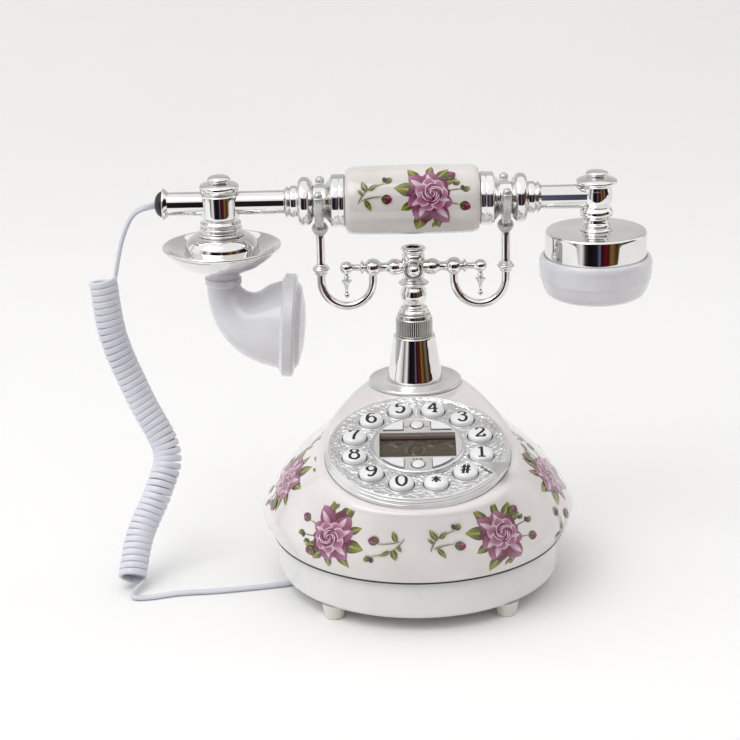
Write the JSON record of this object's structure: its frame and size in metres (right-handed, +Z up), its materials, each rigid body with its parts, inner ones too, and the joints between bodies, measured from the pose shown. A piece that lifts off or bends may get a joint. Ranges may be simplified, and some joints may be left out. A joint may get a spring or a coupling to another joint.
{
  "type": "desk telephone",
  "caption": "Desk telephone with a round base, a sloped push-button dial, a turned pedestal cradle and a horn-and-drum handset.",
  "frame": {"origin": "on the table under the centre of the round base", "axes": "+Z up, the dial faces -Y, the mouthpiece is at -X and the earpiece at +X"},
  "size_m": [0.2996, 0.1669, 0.2166],
  "materials": {
    "pearl_white": "glossy warm white moulding with printed roses",
    "white_plastic": "glossy cool white moulding",
    "cream_foot": "soft cream foot",
    "chrome": "polished chrome plate",
    "fork_grey": "satin chrome plate",
    "knurled_steel": "chrome plate over fine knurling",
    "silver_embossed": "bright silver with embossed scrolls",
    "bezel_clear_silver": "silvered clear plastic",
    "key_white": "glossy white domed key",
    "window_dark": "dark smoked window",
    "lcd_glass": "grey-green display glass",
    "silicone": "grey silicone sheet",
    "board_green": "green solder mask",
    "zinc_steel": "zinc-plated steel",
    "black_plastic": "black moulding",
    "cord_white": "semi-gloss white cord jacket",
    "grip_porcelain": "glossy warm white sleeve with printed roses"
  },
  "bodies": {
    "base": {"ballast_weight": "zinc_steel", "base_plate": "white_plastic", "body_shell": "pearl_white", "case_screws": "zinc_steel", "coiled_cord": "cord_white", "dial_bezel": "bezel_clear_silver", "dial_plate": "silver_embossed", "display_frame": "silver_embossed", "feet": "cream_foot", "finger_stop": "bezel_clear_silver", "hook_switch": "black_plastic", "keypad_circuit_board": "board_green", "keypad_membrane": "silicone", "knurled_collar": "knurled_steel", "lcd_module": "lcd_glass", "lcd_window": "window_dark", "main_circuit_board": "board_green", "modular_jacks": "black_plastic", "pedestal_cup": "chrome", "ringer_speaker": "black_plastic", "top_flange": "silver_embossed"},
    "cradle": {"cradle_stem": "chrome", "return_spring": "zinc_steel", "cradle_hub": "chrome", "hub_ball": "chrome", "cradle_arms": "chrome", "cradle_hooks": "chrome", "cradle_forks": "fork_grey", "cradle_pendants": "chrome"},
    "handset": {"handset_tube": "chrome", "grip_sleeve": "grip_porcelain", "grip_ferrules": "chrome", "neck_collars": "chrome", "tube_end_cap": "black_plastic", "mouth_post": "chrome", "mouth_saucer": "chrome", "mouth_horn": "white_plastic", "ear_post": "chrome", "ear_drum": "chrome", "ear_cap": "white_plastic", "voice_capsules": "black_plastic", "cord_tail": "cord_white"},
    "key_0_body": {"key_0": "key_white"},
    "key_1_body": {"key_1": "key_white"},
    "key_2_body": {"key_2": "key_white"},
    "key_3_body": {"key_3": "key_white"},
    "key_4_body": {"key_4": "key_white"},
    "key_5_body": {"key_5": "key_white"},
    "key_6_body": {"key_6": "key_white"},
    "key_7_body": {"key_7": "key_white"},
    "key_8_body": {"key_8": "key_white"},
    "key_9_body": {"key_9": "key_white"},
    "key_star_body": {"key_star": "key_white"},
    "key_hash_body": {"key_hash": "key_white"},
    "key_top_left_body": {"key_top_left": "key_white"},
    "key_top_round_body": {"key_top_round": "key_white"},
    "key_top_right_body": {"key_top_right": "key_white"},
    "key_bottom_left_body": {"key_bottom_left": "key_white"},
    "key_bottom_round_body": {"key_bottom_round": "key_white"},
    "key_bottom_right_body": {"key_bottom_right": "key_white"}
  },
  "joints": [
    {"name": "handset_lift", "type": "slide", "parent": "base", "child": "handset", "axis": [0, 0, 1], "range_m": [0, 0.06]},
    {"name": "cradle_rise", "type": "slide", "parent": "base", "child": "cradle", "axis": [0, 0, 1], "range_m": [0, 0.005], "deforming": ["return_spring"]},
    {"name": "key_0_press", "type": "slide", "parent": "base", "child": "key_0_body", "axis": [0, 0.2419, -0.9703], "range_m": [0, 0.0015]},
    {"name": "key_1_press", "type": "slide", "parent": "base", "child": "key_1_body", "axis": [0, 0.2419, -0.9703], "range_m": [0, 0.0015]},
    {"name": "key_2_press", "type": "slide", "parent": "base", "child": "key_2_body", "axis": [0, 0.2419, -0.9703], "range_m": [0, 0.0015]},
    {"name": "key_3_press", "type": "slide", "parent": "base", "child": "key_3_body", "axis": [0, 0.2419, -0.9703], "range_m": [0, 0.0015]},
    {"name": "key_4_press", "type": "slide", "parent": "base", "child": "key_4_body", "axis": [0, 0.2419, -0.9703], "range_m": [0, 0.0015]},
    {"name": "key_5_press", "type": "slide", "parent": "base", "child": "key_5_body", "axis": [0, 0.2419, -0.9703], "range_m": [0, 0.0015]},
    {"name": "key_6_press", "type": "slide", "parent": "base", "child": "key_6_body", "axis": [0, 0.2419, -0.9703], "range_m": [0, 0.0015]},
    {"name": "key_7_press", "type": "slide", "parent": "base", "child": "key_7_body", "axis": [0, 0.2419, -0.9703], "range_m": [0, 0.0015]},
    {"name": "key_8_press", "type": "slide", "parent": "base", "child": "key_8_body", "axis": [0, 0.2419, -0.9703], "range_m": [0, 0.0015]},
    {"name": "key_9_press", "type": "slide", "parent": "base", "child": "key_9_body", "axis": [0, 0.2419, -0.9703], "range_m": [0, 0.0015]},
    {"name": "key_star_press", "type": "slide", "parent": "base", "child": "key_star_body", "axis": [0, 0.2419, -0.9703], "range_m": [0, 0.0015]},
    {"name": "key_hash_press", "type": "slide", "parent": "base", "child": "key_hash_body", "axis": [0, 0.2419, -0.9703], "range_m": [0, 0.0015]},
    {"name": "key_top_left_press", "type": "slide", "parent": "base", "child": "key_top_left_body", "axis": [0, 0.2419, -0.9703], "range_m": [0, 0.0008]},
    {"name": "key_top_round_press", "type": "slide", "parent": "base", "child": "key_top_round_body", "axis": [0, 0.2419, -0.9703], "range_m": [0, 0.0008]},
    {"name": "key_top_right_press", "type": "slide", "parent": "base", "child": "key_top_right_body", "axis": [0, 0.2419, -0.9703], "range_m": [0, 0.0008]},
    {"name": "key_bottom_left_press", "type": "slide", "parent": "base", "child": "key_bottom_left_body", "axis": [0, 0.2419, -0.9703], "range_m": [0, 0.0008]},
    {"name": "key_bottom_round_press", "type": "slide", "parent": "base", "child": "key_bottom_round_body", "axis": [0, 0.2419, -0.9703], "range_m": [0, 0.0008]},
    {"name": "key_bottom_right_press", "type": "slide", "parent": "base", "child": "key_bottom_right_body", "axis": [0, 0.2419, -0.9703], "range_m": [0, 0.0008]}
  ],
  "couplings": [
    {"joint": "cradle_rise", "follows": "handset_lift", "ratio": 0.083333}
  ]
}
